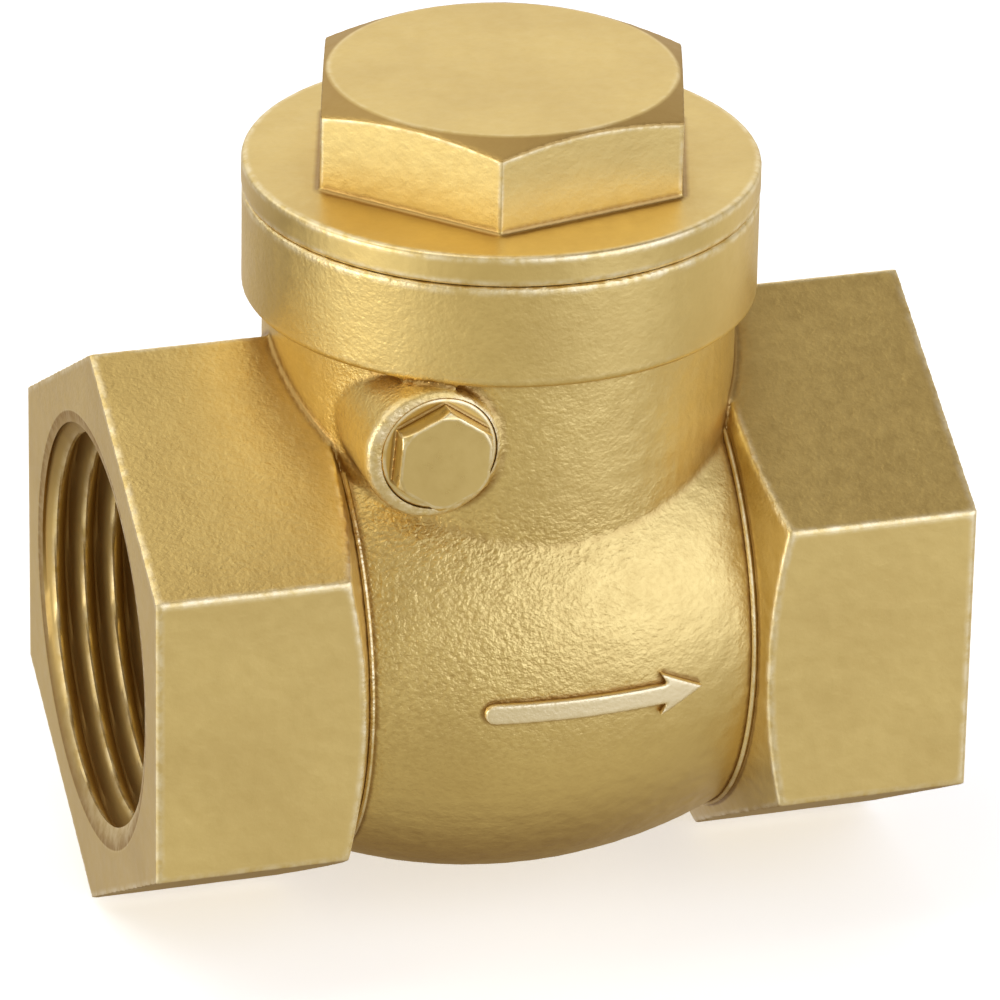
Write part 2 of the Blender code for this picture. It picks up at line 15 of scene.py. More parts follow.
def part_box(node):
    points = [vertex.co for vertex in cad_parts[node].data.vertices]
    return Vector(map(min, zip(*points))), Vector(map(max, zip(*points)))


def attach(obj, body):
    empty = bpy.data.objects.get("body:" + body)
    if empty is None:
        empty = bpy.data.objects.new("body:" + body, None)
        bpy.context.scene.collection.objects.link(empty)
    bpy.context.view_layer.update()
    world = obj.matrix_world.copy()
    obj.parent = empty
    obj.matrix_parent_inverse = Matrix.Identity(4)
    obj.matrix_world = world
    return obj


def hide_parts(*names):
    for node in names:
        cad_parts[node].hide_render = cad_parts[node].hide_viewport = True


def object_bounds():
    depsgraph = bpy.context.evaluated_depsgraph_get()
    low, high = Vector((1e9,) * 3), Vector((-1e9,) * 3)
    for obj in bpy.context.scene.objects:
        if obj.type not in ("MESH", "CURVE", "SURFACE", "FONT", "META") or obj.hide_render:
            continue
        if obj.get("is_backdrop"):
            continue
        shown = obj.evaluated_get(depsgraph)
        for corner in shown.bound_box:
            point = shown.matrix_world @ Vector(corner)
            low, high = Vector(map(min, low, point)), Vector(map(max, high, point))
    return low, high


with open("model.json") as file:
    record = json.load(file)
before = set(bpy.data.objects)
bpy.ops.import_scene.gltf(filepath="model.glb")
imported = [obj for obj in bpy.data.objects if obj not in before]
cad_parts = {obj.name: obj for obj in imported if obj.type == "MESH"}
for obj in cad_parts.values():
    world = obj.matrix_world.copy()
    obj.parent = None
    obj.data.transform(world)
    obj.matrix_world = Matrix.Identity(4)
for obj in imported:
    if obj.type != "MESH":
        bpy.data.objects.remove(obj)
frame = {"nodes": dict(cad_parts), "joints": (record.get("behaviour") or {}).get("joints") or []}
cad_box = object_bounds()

MM = 0.001
JOINTS = {joint["name"]: joint for joint in frame["joints"]}

# ---------------------------------------------------------------- sizes taken from the frame

FLOW_Z = JOINTS["disc_spin"]["pos_m"][2] / MM  # height of the flow axis in the frame


def node_span(node, axis):
    """Where a CAD node starts and ends along an axis, in millimetres about the flow axis."""
    low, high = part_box(node)
    shift = FLOW_Z if axis == 2 else 0
    return low[axis] / MM - shift, high[axis] / MM - shift


HALF_LENGTH = node_span("valve_body", 0)[1]
HEX_CORNER = -node_span("valve_body", 2)[0]
END_FLATS = HEX_CORNER * math.sqrt(3)
BODY_TOP = node_span("valve_body", 2)[1]
CAP_LOW, CAP_HIGH = node_span("bonnet_cap", 2)
PIN_X = JOINTS["flap_swing"]["pos_m"][0] / MM
PIN_Z = JOINTS["flap_swing"]["pos_m"][2] / MM - FLOW_Z
PIN_REAR = node_span("hinge_pin", 1)[1]
PLUG_FACE = node_span("pin_plug", 1)[0]

# ---------------------------------------------------------------- sizes of the body casting, mm

GLOBE_RADIUS = 21.5
GLOBE_ARC = 40.0  # the globe's profile is an arc of this radius
GLOBE_END = 18.0  # how far the globe runs on inside the hexagons
WALL = 2.4
END_INNER = 15.8
CONE_ROOT = 16.5  # where the cone on a hexagon's inner side starts
CHAMFER_SLOPE = 0.42
NECK_START = 6.0
NECK_RADIUS = 18.0
NECK_BORE = 15.0
NECK_BORE_BOTTOM = 13.0
COLLAR_RADIUS = 19.55
COLLAR_BOTTOM = 25.45
CAP_THREAD_ROOT = 16.0
CAP_THREAD_CREST = 15.15
CAP_THREAD_BOTTOM = 25.8
CAP_PITCH = 1.5
CAP_STEPS_PER_TURN = 10
GASKET_SEAT = 32.1
GASKET_RECESS = 18.0
PORT_RADIUS = 10.8
SEAT_X = -11.7
SEAT_OUTER = 12.1
SEAT_HEIGHT = 1.1
SOCKET_ROOT = 16.62
SOCKET_CREST = 15.15
SOCKET_PITCH = 2.309
SOCKET_STEPS_PER_TURN = 14
SOCKET_DEPTH = 13.3
SOCKET_LEAD_IN = 0.4
MOUTH_DEPTH = 0.15
MOUTH_RADIUS = 16.0
MOUTH_RIM = 17.0
OUTLET_LIP = 14.0
BOSS_START = 9.0
BOSS_RADIUS = 5.2
BOSS_RIM = 0.5
BOSS_FACE = -17.72
BOSS_SHIFT = (-0.4, -0.1)  # the cast boss sits off the drilled hole by this much along X and Z
REAR_BOSS_RADIUS = 4.8
REAR_BOSS_FACE = 17.2
LUG_RADIUS = 4.5
LUG_INNER = 7.5
LUG_OUTER = 14.6
LUG_BEVEL = 0.3
PIN_BORE = 1.85
PLUG_BORE = 3.5
PLUG_SEAT = -16.4
PLUG_RECESS = 4.5
PLUG_HOLE_DEPTH = 2.8
ARROW_HEIGHT = 0.6

# The bead between a hexagon and the globe: places along the flow axis, and heights over the globe.
BEAD = ((14.75, -0.5), (14.8, 0.12), (14.9, 0.24), (15.05, 0.26), (15.2, 0.14), (15.3, -0.5))
BEAD_MIDDLE = 14.75
BEAD_ROOTS = (13.0, 16.0)

# ---------------------------------------------------------------- mesh helpers

AXES = {
    "X": (Vector((1, 0, 0)), Vector((0, 1, 0)), Vector((0, 0, 1))),
    "Y": (Vector((0, 1, 0)), Vector((0, 0, 1)), Vector((1, 0, 0))),
    "Z": (Vector((0, 0, 1)), Vector((1, 0, 0)), Vector((0, 1, 0))),
}


def new_object(name, bm):
    """Turns a bmesh into an object in the scene, all its faces pointing outward."""
    bmesh.ops.recalc_face_normals(bm, faces=bm.faces)
    mesh = bpy.data.meshes.new(name)
    bm.to_mesh(mesh)
    bm.free()
    obj = bpy.data.objects.new(name, mesh)
    bpy.context.scene.collection.objects.link(obj)
    return obj


def grid_solid(name, rows):
    """A closed solid from rows of points round an axis; a row of one point is a pole."""
    bm = bmesh.new()
    rings = [[bm.verts.new(point) for point in row] for row in rows]
    for first, second in zip(rings, rings[1:]):
        count = max(len(first), len(second))
        for i in range(count):
            j = (i + 1) % count
            corners = [first[i % len(first)], first[j % len(first)]]
            corners += [second[j % len(second)], second[i % len(second)]]
            corners = list(dict.fromkeys(corners))
            if len(corners) > 2:
                bm.faces.new(corners)
    return new_object(name, bm)


def turned(name, profile, axis="X", centre=(0, 0, 0), segments=96, radius_at=None):
    """A lathe solid from (along, radius) points.

    radius_at(along, angle, radius) may vary the radius round the axis.
    """
    along, across, up = AXES[axis]
    rows = []
    for place, radius in profile:
        base = Vector(centre) + along * place
        if radius == 0:
            rows.append([base])
            continue
        row = []
        for i in range(segments):
            angle = 2 * math.pi * (i + 0.5) / segments
            reach = radius_at(place, angle, radius) if radius_at else radius
            row.append(base + reach * (across * math.cos(angle) + up * math.sin(angle)))
        rows.append(row)
    return grid_solid(name, rows)


def prism(name, outline, axis, low, high, centre=(0, 0, 0)):
    """A straight solid on a flat outline, from low to high along an axis."""
    along, across, up = AXES[axis]
    rows = []
    for place in (low, high):
        rows.append([Vector(centre) + along * place + across * u + up * v for u, v in outline])
    bm = bmesh.new()
    bottom, top = ([bm.verts.new(point) for point in row] for row in rows)
    bm.faces.new(bottom)
    bm.faces.new(top)
    for i in range(len(outline)):
        j = (i + 1) % len(outline)
        bm.faces.new((bottom[i], bottom[j], top[j], top[i]))
    return new_object(name, bm)


def hexagon(flats, turn):
    """The corners of a hexagon, from its size across flats and its turn in degrees."""
    radius = flats / math.sqrt(3)
    angles = [math.radians(turn + 60 * i) for i in range(6)]
    return [(radius * math.cos(a), radius * math.sin(a)) for a in angles]


def arc(centre, radius, start, end, steps):
    """Points along part of a circle, from a start to an end angle in degrees."""
    angles = [math.radians(start + (end - start) * i / steps) for i in range(steps + 1)]
    return [(centre[0] + radius * math.cos(a), centre[1] + radius * math.sin(a)) for a in angles]


def bake(obj):
    """Replaces an object's mesh by what its modifiers make of it."""
    graph = bpy.context.evaluated_depsgraph_get()
    mesh = bpy.data.meshes.new_from_object(obj.evaluated_get(graph), depsgraph=graph)
    obj.modifiers.clear()
    obj.data = mesh
    return obj


def boolean(obj, tools, operation):
    """Combines obj with each tool in turn, and deletes the tools."""
    for tool in tools:
        modifier = obj.modifiers.new("boolean", "BOOLEAN")
        modifier.operation = operation
        modifier.solver = "MANIFOLD"
        modifier.object = tool
        bake(obj)
        bpy.data.objects.remove(tool)
    return obj


def joined(name, parts):
    """One mesh that holds all the parts as they are; a remesh then makes one skin of them."""
    bm = bmesh.new()
    for part in parts:
        bm.from_mesh(part.data)
        bpy.data.objects.remove(part)
    return new_object(name, bm)


def remesh(obj, voxel, smoothing):
    """One even skin over overlapping solids; smoothing rounds its edges and fills its corners."""
    modifier = obj.modifiers.new("skin", "REMESH")
    modifier.mode = "VOXEL"
    modifier.voxel_size = voxel
    modifier = obj.modifiers.new("soften", "SMOOTH")
    modifier.factor = 0.5
    modifier.iterations = smoothing
    return bake(obj)


BEND_PASSES = 5
SHARPEST_BEND = 4.0
SMALLEST = 1e-6  # a length below this counts as none


def gathered(first, second, at_first, at_second, count):
    """Sums what each edge gives to its two ends."""
    return np.bincount(first, at_first, count) + np.bincount(second, at_second, count)


def spread(values, first, second, weight):
    """Each point's weighted average over its neighbours and itself."""
    count = len(values)
    total = gathered(first, second, weight * values[second], weight * values[first], count)
    share = gathered(first, second, weight, weight, count)
    return (values + total / np.maximum(share, SMALLEST)) / 2


def mark_bends(obj):
    """Stores how sharply the skin bends at each point (per mm, edges above 0, corners below)."""
    mesh = obj.data
    places = np.empty(3 * len(mesh.vertices), np.float32)
    mesh.vertices.foreach_get("co", places)
    outward = np.empty(3 * len(mesh.vertices), np.float32)
    mesh.vertex_normals.foreach_get("vector", outward)
    ends = np.empty(2 * len(mesh.edges), np.int32)
    mesh.edges.foreach_get("vertices", ends)
    places, outward = places.reshape(-1, 3), outward.reshape(-1, 3)
    first, second = ends.reshape(-1, 2).T
    step = places[second] - places[first]
    length = np.maximum(np.linalg.norm(step, axis=1), SMALLEST)
    turn = np.einsum("ij,ij->i", outward[second] - outward[first], step) / length
    total = gathered(first, second, turn, turn, len(places))
    share = gathered(first, second, length, length, len(places))
    bend = np.clip(total / np.maximum(share, SMALLEST), -SHARPEST_BEND, SHARPEST_BEND)
    for _ in range(BEND_PASSES):
        bend = spread(bend, first, second, length)
    layer = mesh.attributes.new("bend", "FLOAT", "POINT")
    layer.data.foreach_set("value", bend.astype(np.float32))


SHARP_ANGLE = 30


def set_down(obj, body, node, material):
    """Scales a finished casting to metres and lets it stand for its CAD node in the frame."""
    mark_bends(obj)
    obj.data.transform(Matrix.Translation((0, 0, FLOW_Z * MM)) @ Matrix.Scale(MM, 4))
    obj.data.shade_smooth()
    obj.data.set_sharp_from_angle(angle=math.radians(SHARP_ANGLE))
    obj.data.materials.clear()
    obj.data.materials.append(material)
    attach(obj, body)
    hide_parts(node)


THREAD_FLAT = 0.12  # share of the way from crest to root that stays flat at either end


def thread_radius(pitch, crest, root, start, hand=1):
    """A radius function for a V thread with flat crests and roots; other radii stay as they are.

    hand=1 makes the thread right-handed, and hand=-1 left-handed.
    """

    def radius(place, angle, base):
        if abs(base - crest) > SMALLEST:
            return base
        phase = ((place - start) / pitch - hand * angle / (2 * math.pi)) % 1
        ramp = abs(2 * phase - 1)
        depth = min(1, max(0, (ramp - THREAD_FLAT) / (1 - 2 * THREAD_FLAT)))
        return crest + (root - crest) * depth

    return radius


# ---------------------------------------------------------------- valve body


def globe_radius(x):
    """The globe's outer radius at a place along the flow axis."""
    return math.sqrt(GLOBE_ARC**2 - x**2) - GLOBE_ARC + GLOBE_RADIUS


def globe_profile(low, high, offset, steps=40):
    """Points along the globe's profile, moved out by an offset."""
    xs = [low + (high - low) * i / steps for i in range(steps + 1)]
    return [(x, globe_radius(x) + offset) for x in xs]


def globe_and_neck():
    """The globe, running on into the hexagons, and the neck that stands up from inside it."""
    ends = globe_radius(END_INNER)
    outline = [(-GLOBE_END, 0), (-GLOBE_END, ends)]
    outline += globe_profile(-END_INNER, END_INNER, 0)
    outline += [(GLOBE_END, ends), (GLOBE_END, 0)]
    top = BODY_TOP - 1
    neck_outline = [(NECK_START, 0), (NECK_START, NECK_RADIUS), (top, NECK_RADIUS), (top, 0)]
    return [turned("globe", outline), turned("neck", neck_outline, "Z")]


def pin_bosses():
    """The boss round the plug, its rim rounded, and the blind one at the pin's far end."""
    shifted = (PIN_X + BOSS_SHIFT[0], 0, PIN_Z + BOSS_SHIFT[1])
    rim = arc((BOSS_RADIUS - BOSS_RIM, BOSS_FACE + BOSS_RIM), BOSS_RIM, -90, 0, steps=6)
    front = [(BOSS_FACE, 0), *((y, r) for r, y in rim)]
    front += [(-BOSS_START, BOSS_RADIUS), (-BOSS_START, 0)]
    rear = [(BOSS_START, 0), (BOSS_START, REAR_BOSS_RADIUS)]
    rear += [(REAR_BOSS_FACE, REAR_BOSS_RADIUS), (REAR_BOSS_FACE, 0)]
    return [turned("front", front, "Y", shifted), turned("rear", rear, "Y", (PIN_X, 0, PIN_Z))]


def barrel_with_neck():
    """Globe, neck and pin bosses in one skin, with the cast fillets between them."""
    return remesh(joined("barrel", [*globe_and_neck(), *pin_bosses()]), voxel=0.25, smoothing=3)


def end_hexagon(side):
    """One hexagon end, its inner corners turned off to a cone."""

    def cone_x(radius):
        return END_INNER + (radius - END_FLATS / 2) * CHAMFER_SLOPE

    clear = HEX_CORNER + 1
    profile = [(cone_x(CONE_ROOT), 0), (cone_x(CONE_ROOT), CONE_ROOT), (cone_x(clear), clear)]
    profile += [(HALF_LENGTH, clear), (HALF_LENGTH, 0)]
    blank = turned("blank", [(side * x, r) for x, r in profile])
    low, high = sorted((side * (END_INNER - 3), side * (HALF_LENGTH + 1)))
    end = prism("end", hexagon(END_FLATS, turn=30), "X", low, high)
    return boolean(end, [blank], "INTERSECT")


def collar():
    """The wide ring at the neck's top, that the cap's flange comes down on."""
    edge = 0.15
    bevel = 0.35
    profile = [
        (COLLAR_BOTTOM, 0),
        (COLLAR_BOTTOM, COLLAR_RADIUS - bevel),
        (COLLAR_BOTTOM + bevel, COLLAR_RADIUS),
        (BODY_TOP - edge, COLLAR_RADIUS),
        (BODY_TOP, COLLAR_RADIUS - edge),
        (BODY_TOP, 0),
    ]
    return turned("collar", profile, "Z", segments=160)


def flow_arrow():
    """The raised arrow: a bar with a rounded tail and a short head, following the globe."""
    tail, barb, neck, tip = -6.2, 6.7, 7.3, 10.3
    half_bar, half_head = 0.8, 1.8
    front, back = -GLOBE_RADIUS - 2, -GLOBE_RADIUS + 3
    outline = [(u, v) for v, u in arc((tail, 0), half_bar, 90, 270, steps=8)]
    outline += [(-half_bar, neck), (-half_head, barb), (0, tip), (half_head, barb), (half_bar, neck)]
    arrow = prism("arrow", outline, "Y", front, back)
    half = tip + 3
    shell = turned("shell", [(-half, 0), *globe_profile(-half, half, ARROW_HEIGHT), (half, 0)])
    return remesh(boolean(arrow, [shell], "INTERSECT"), voxel=0.09, smoothing=14)


def shoulder_rings():
    """The narrow bead between each hexagon's cone and the globe."""
    inner, outer = BEAD_ROOTS
    bead = [(x, globe_radius(BEAD_MIDDLE) + height) for x, height in BEAD]
    profile = [(inner, 0), *bead, (outer, 0)]
    return [turned("bead", [(side * x, r) for x, r in profile], segments=160) for side in (-1, 1)]


def socket_profile(socket_end):
    """One threaded socket with its shallow chamfered mouth, from its inner end outward."""
    outside = HALF_LENGTH + 1
    length = HALF_LENGTH - SOCKET_LEAD_IN - socket_end
    count = round(length / (SOCKET_PITCH / SOCKET_STEPS_PER_TURN))
    thread = [(socket_end + length * i / count, SOCKET_CREST) for i in range(count + 1)]
    mouth = [(HALF_LENGTH - MOUTH_DEPTH, MOUTH_RADIUS), (HALF_LENGTH, MOUTH_RIM)]
    return [*thread, *mouth, (outside, MOUTH_RIM), (outside, 0)]


def flow_cutter():
    """Everything empty along the flow axis: threaded sockets, port, seat and globe chamber."""
    socket_end = HALF_LENGTH - SOCKET_DEPTH
    outlet = socket_profile(socket_end)
    inlet = [(-x, r) for x, r in reversed(outlet)]
    chamber_start = SEAT_X - SEAT_HEIGHT
    chamber_end = END_INNER - 1
    profile = [
        *inlet,
        (-socket_end, PORT_RADIUS),
        (SEAT_X, PORT_RADIUS),
        (SEAT_X, SEAT_OUTER),
        (chamber_start, SEAT_OUTER),
        *globe_profile(chamber_start, chamber_end, -WALL),
        (chamber_end + 1.5, OUTLET_LIP),
        (socket_end, OUTLET_LIP),
        *outlet,
    ]
    cut = thread_radius(SOCKET_PITCH, SOCKET_CREST, SOCKET_ROOT, socket_end)
    return turned("flow_cutter", profile, segments=128, radius_at=cut)


def neck_cutter():
    """The bore under the cap, with the cap's thread and the gasket's recess."""
    ease = 0.1
    clear = BODY_TOP + 2
    step = CAP_PITCH / CAP_STEPS_PER_TURN
    count = round((GASKET_SEAT - CAP_THREAD_BOTTOM) / step)
    profile = [
        (NECK_BORE_BOTTOM, 0),
        (NECK_BORE_BOTTOM, NECK_BORE),
        (CAP_THREAD_BOTTOM, NECK_BORE),
        *((CAP_THREAD_BOTTOM + ease + step * i, CAP_THREAD_CREST) for i in range(count)),
        (GASKET_SEAT, CAP_THREAD_ROOT + ease),
        (GASKET_SEAT, GASKET_RECESS),
        (clear, GASKET_RECESS),
        (clear, 0),
    ]
    cut = thread_radius(CAP_PITCH, CAP_THREAD_CREST, CAP_THREAD_ROOT, CAP_THREAD_BOTTOM)
    return turned("neck_cutter", profile, "Z", segments=128, radius_at=cut)


def pin_lugs():
    """The two lugs inside the neck that the hinge pin runs in."""
    profile = [(LUG_INNER, 0), (LUG_INNER, LUG_RADIUS - LUG_BEVEL), (LUG_INNER + LUG_BEVEL, LUG_RADIUS)]
    profile += [(LUG_OUTER, LUG_RADIUS), (LUG_OUTER, 0)]
    lugs = []
    for side in (-1, 1):
        mirrored = [(side * y, r) for y, r in profile]
        lugs.append(turned("lug", mirrored, "Y", (PIN_X, 0, PIN_Z), segments=64))
    return lugs


def pin_cutter():
    """The plug's recess and hole, and the pin's bore behind it with a drilled end."""
    clear = BOSS_FACE - 1
    hole_end = PLUG_SEAT + PLUG_HOLE_DEPTH
    profile = [
        (clear, 0),
        (clear, PLUG_RECESS),
        (PLUG_SEAT, PLUG_RECESS),
        (PLUG_SEAT, PLUG_BORE),
        (hole_end, PLUG_BORE),
        (hole_end, PIN_BORE),
        (PIN_REAR + 0.3, PIN_BORE),
        (PIN_REAR + 0.8, 0),
    ]
    return turned("pin_cutter", profile, "Y", (PIN_X, 0, PIN_Z), segments=64)


def roughen(obj, size, height_at):
    """Moves a casting's skin in and out a little, as sand and shot leave it."""
    mesh = obj.data
    places = [vertex.co.copy() for vertex in mesh.vertices]
    outward = [vertex.normal.copy() for vertex in mesh.vertices]
    moved = []
    for place, normal in zip(places, outward):
        bumps = noise.noise(place / size) + 0.5 * noise.noise(place * 2 / size)
        moved.extend(place + normal * bumps * height_at(place))
    mesh.vertices.foreach_set("co", moved)
    mesh.update()


END_ROUGHNESS = 0.012
GLOBE_ROUGHNESS = 0.028


def body_roughness(place):
    """How uneven the body is: not at all on the turned faces, most on the globe and neck."""
    if abs(place.x) > HALF_LENGTH - 0.25 or place.z > BODY_TOP - 0.2:
        return 0
    return END_ROUGHNESS if abs(place.x) > END_INNER or place.z > COLLAR_BOTTOM else GLOBE_ROUGHNESS


def body_casting():
    """The body: one cast skin, with the bores cut out of it and the lugs left in them."""
    parts = [barrel_with_neck(), end_hexagon(-1), end_hexagon(1), collar()]
    body = remesh(joined("body_casting", parts), voxel=0.2, smoothing=2)
    roughen(body, size=1.3, height_at=body_roughness)
    boolean(body, [*shoulder_rings(), flow_arrow()], "UNION")
    boolean(body, [flow_cutter(), neck_cutter()], "DIFFERENCE")
    boolean(body, pin_lugs(), "UNION")
    return boolean(body, [pin_cutter()], "DIFFERENCE")


# ---------------------------------------------------------------- bonnet cap

CAP_FLATS = 27.0
CAP_FLANGE_RADIUS = 19.6
CAP_FLANGE_BOTTOM = 33.9
CAP_FLANGE_TOP = 36.1
CAP_TOP_RADIUS = 13.05
CAP_CORNER_DROP = 0.97
CAP_CORNER = CAP_FLATS / math.sqrt(3)
CAP_SLOPE = CAP_CORNER_DROP / (CAP_CORNER - CAP_TOP_RADIUS)
CAP_TURN = 13.0
CAP_ROUGHNESS = 0.008
LIP_GAP = 0.08  # what the flange's lip leaves open over the collar
SPIGOT_ROOT = 14.2
SPIGOT_CREST = 14.95
SPIGOT_THREAD_START = 0.6
SPIGOT_NECK = 1.2
SPIGOT_HOLLOW = 12.4
HEAD_HOLLOW = 9.5


def cap_head():
    """The cap's hexagon, its corners turned off at the top."""
    clear = CAP_CORNER + 1
    low = CAP_FLANGE_TOP - 1
    blank_profile = [
        (low, 0),
        (low, clear),
        (CAP_HIGH - CAP_SLOPE * (clear - CAP_TOP_RADIUS), clear),
        (CAP_HIGH, CAP_TOP_RADIUS),
        (CAP_HIGH, 0),
    ]
    blank = turned("blank", blank_profile, "Z", segments=160)
    head = prism("head", hexagon(CAP_FLATS, CAP_TURN), "Z", CAP_FLANGE_TOP - 2, CAP_HIGH + 1)
    return boolean(head, [blank], "INTERSECT")


def cap_flange():
    """The cap's round flange, with a lip outside the gasket's recess."""
    edge = 0.2
    lip = BODY_TOP + LIP_GAP
    lip_radius = GASKET_RECESS + 0.2
    profile = [
        (CAP_FLANGE_BOTTOM, 0),
        (CAP_FLANGE_BOTTOM, lip_radius),
        (lip, lip_radius),
        (lip, CAP_FLANGE_RADIUS - edge),
        (lip + edge, CAP_FLANGE_RADIUS),
        (CAP_FLANGE_TOP - edge, CAP_FLANGE_RADIUS),
        (CAP_FLANGE_TOP, CAP_FLANGE_RADIUS - edge),
        (CAP_FLANGE_TOP, 0),
    ]
    return turned("flange", profile, "Z", segments=160)


def cap_spigot():
    """The threaded part that screws into the neck."""
    thread_start = CAP_LOW + SPIGOT_THREAD_START
    thread_end = CAP_FLANGE_BOTTOM - SPIGOT_NECK
    inside_flange = CAP_FLANGE_BOTTOM + 0.5
    step = CAP_PITCH / CAP_STEPS_PER_TURN
    count = round((thread_end - CAP_LOW - SPIGOT_THREAD_START) / step)
    profile = [
        (CAP_LOW, 0),
        (CAP_LOW, SPIGOT_ROOT),
        *((thread_start + step * i, SPIGOT_CREST) for i in range(count + 1)),
        (thread_end, SPIGOT_ROOT),
        (inside_flange, SPIGOT_ROOT),
        (inside_flange, 0),
    ]
    cut = thread_radius(CAP_PITCH, SPIGOT_CREST, SPIGOT_ROOT, CAP_LOW)
    return turned("spigot", profile, "Z", segments=128, radius_at=cut)


def cap_recess():
    """The hollow of the spigot, stepping in to a smaller one under the head."""
    step_height = CAP_FLANGE_BOTTOM + 0.6
    ceiling = CAP_FLANGE_BOTTOM + 4.6
    bevel = 0.8
    profile = [
        (CAP_LOW - 1, 0),
        (CAP_LOW - 1, SPIGOT_HOLLOW),
        (step_height, SPIGOT_HOLLOW),
        (step_height, HEAD_HOLLOW),
        (CAP_FLANGE_BOTTOM + 3.8, HEAD_HOLLOW),
        (ceiling, HEAD_HOLLOW - bevel),
        (ceiling, 0),
    ]
    return turned("recess", profile, "Z", segments=96)


def cap_casting():
    """The screwed cap: hexagon head, flange, and a hollow threaded spigot."""
    cap = remesh(joined("cap_casting", [cap_head(), cap_flange()]), voxel=0.16, smoothing=2)
    roughen(cap, size=0.9, height_at=lambda place: CAP_ROUGHNESS)
    boolean(cap, [cap_spigot()], "UNION")
    return boolean(cap, [cap_recess()], "DIFFERENCE")


# ---------------------------------------------------------------- pin plug

PLUG_FLANGE = 4.47
PLUG_FLANGE_FACE = -17.66
PLUG_FLANGE_BACK = PLUG_SEAT - 0.7
PLUG_RIM = 0.25
PLUG_FLATS = 7.0
PLUG_TURN = 25.0
PLUG_STEM_END = node_span("pin_plug", 1)[1]
PLUG_STEM_ROOT = 2.8
PLUG_STEM_CREST = 3.3
PLUG_THREAD_START = 0.4
PLUG_PITCH = 1.0
PLUG_STEPS_PER_TURN = 8


def plug_head(place):
    """The plug's small hexagon, its corners turned off at the face."""
    corner = PLUG_FLATS / math.sqrt(3)
    clear = corner + 0.02
    back = PLUG_FLANGE_FACE + 1
    blank_profile = [(PLUG_FACE, 0), (PLUG_FACE, corner - 0.4), (PLUG_FACE + 0.35, clear)]
    blank_profile += [(back, clear), (back, 0)]
    blank = turned("blank", blank_profile, "Y", place, segments=96)
    outline = [(up, across) for across, up in hexagon(PLUG_FLATS, PLUG_TURN)]
    head = prism("head", outline, "Y", PLUG_FACE - 1, PLUG_FLANGE_FACE + 0.5, place)
    return boolean(head, [blank], "INTERSECT")


def plug_flange(place):
    """The round flange that sits in the boss, its rim rounded."""
    profile = [(PLUG_FLANGE_FACE, 0)]
    for i in range(7):
        angle = math.radians(90 - 15 * i)
        along = PLUG_FLANGE_FACE + PLUG_RIM - PLUG_RIM * math.sin(angle)
        profile.append((along, PLUG_FLANGE - PLUG_RIM + PLUG_RIM * math.cos(angle)))
    profile += [(PLUG_FLANGE_BACK, PLUG_FLANGE), (PLUG_FLANGE_BACK, 0)]
    return turned("flange", profile, "Y", place, segments=128)


def plug_stem(place):
    """The stem behind the flange. Its thread comes out left-handed, which a real plug's is not."""
    root = PLUG_FLANGE_BACK - 0.3
    thread_start = PLUG_FLANGE_BACK + PLUG_THREAD_START
    step = PLUG_PITCH / PLUG_STEPS_PER_TURN
    count = round((PLUG_STEM_END - PLUG_FLANGE_BACK - 2 * PLUG_THREAD_START) / step)
    profile = [(root, 0), (root, PLUG_STEM_ROOT)]
    profile += [(thread_start + step * i, PLUG_STEM_CREST) for i in range(count + 1)]
    profile += [(PLUG_STEM_END, PLUG_STEM_ROOT), (PLUG_STEM_END, 0)]
    cut = thread_radius(PLUG_PITCH, PLUG_STEM_CREST, PLUG_STEM_ROOT, PLUG_FLANGE_BACK, hand=-1)
    return turned("stem", profile, "Y", place, segments=64, radius_at=cut)


def plug_casting():
    """The plug that closes the pin hole: hexagon head, rounded flange and threaded stem."""
    place = (PIN_X, 0, PIN_Z)
    parts = [plug_head(place), plug_flange(place)]
    plug = remesh(joined("plug_casting", parts), voxel=0.07, smoothing=3)
    return boolean(plug, [plug_stem(place)], "UNION")


# ---------------------------------------------------------------- materials


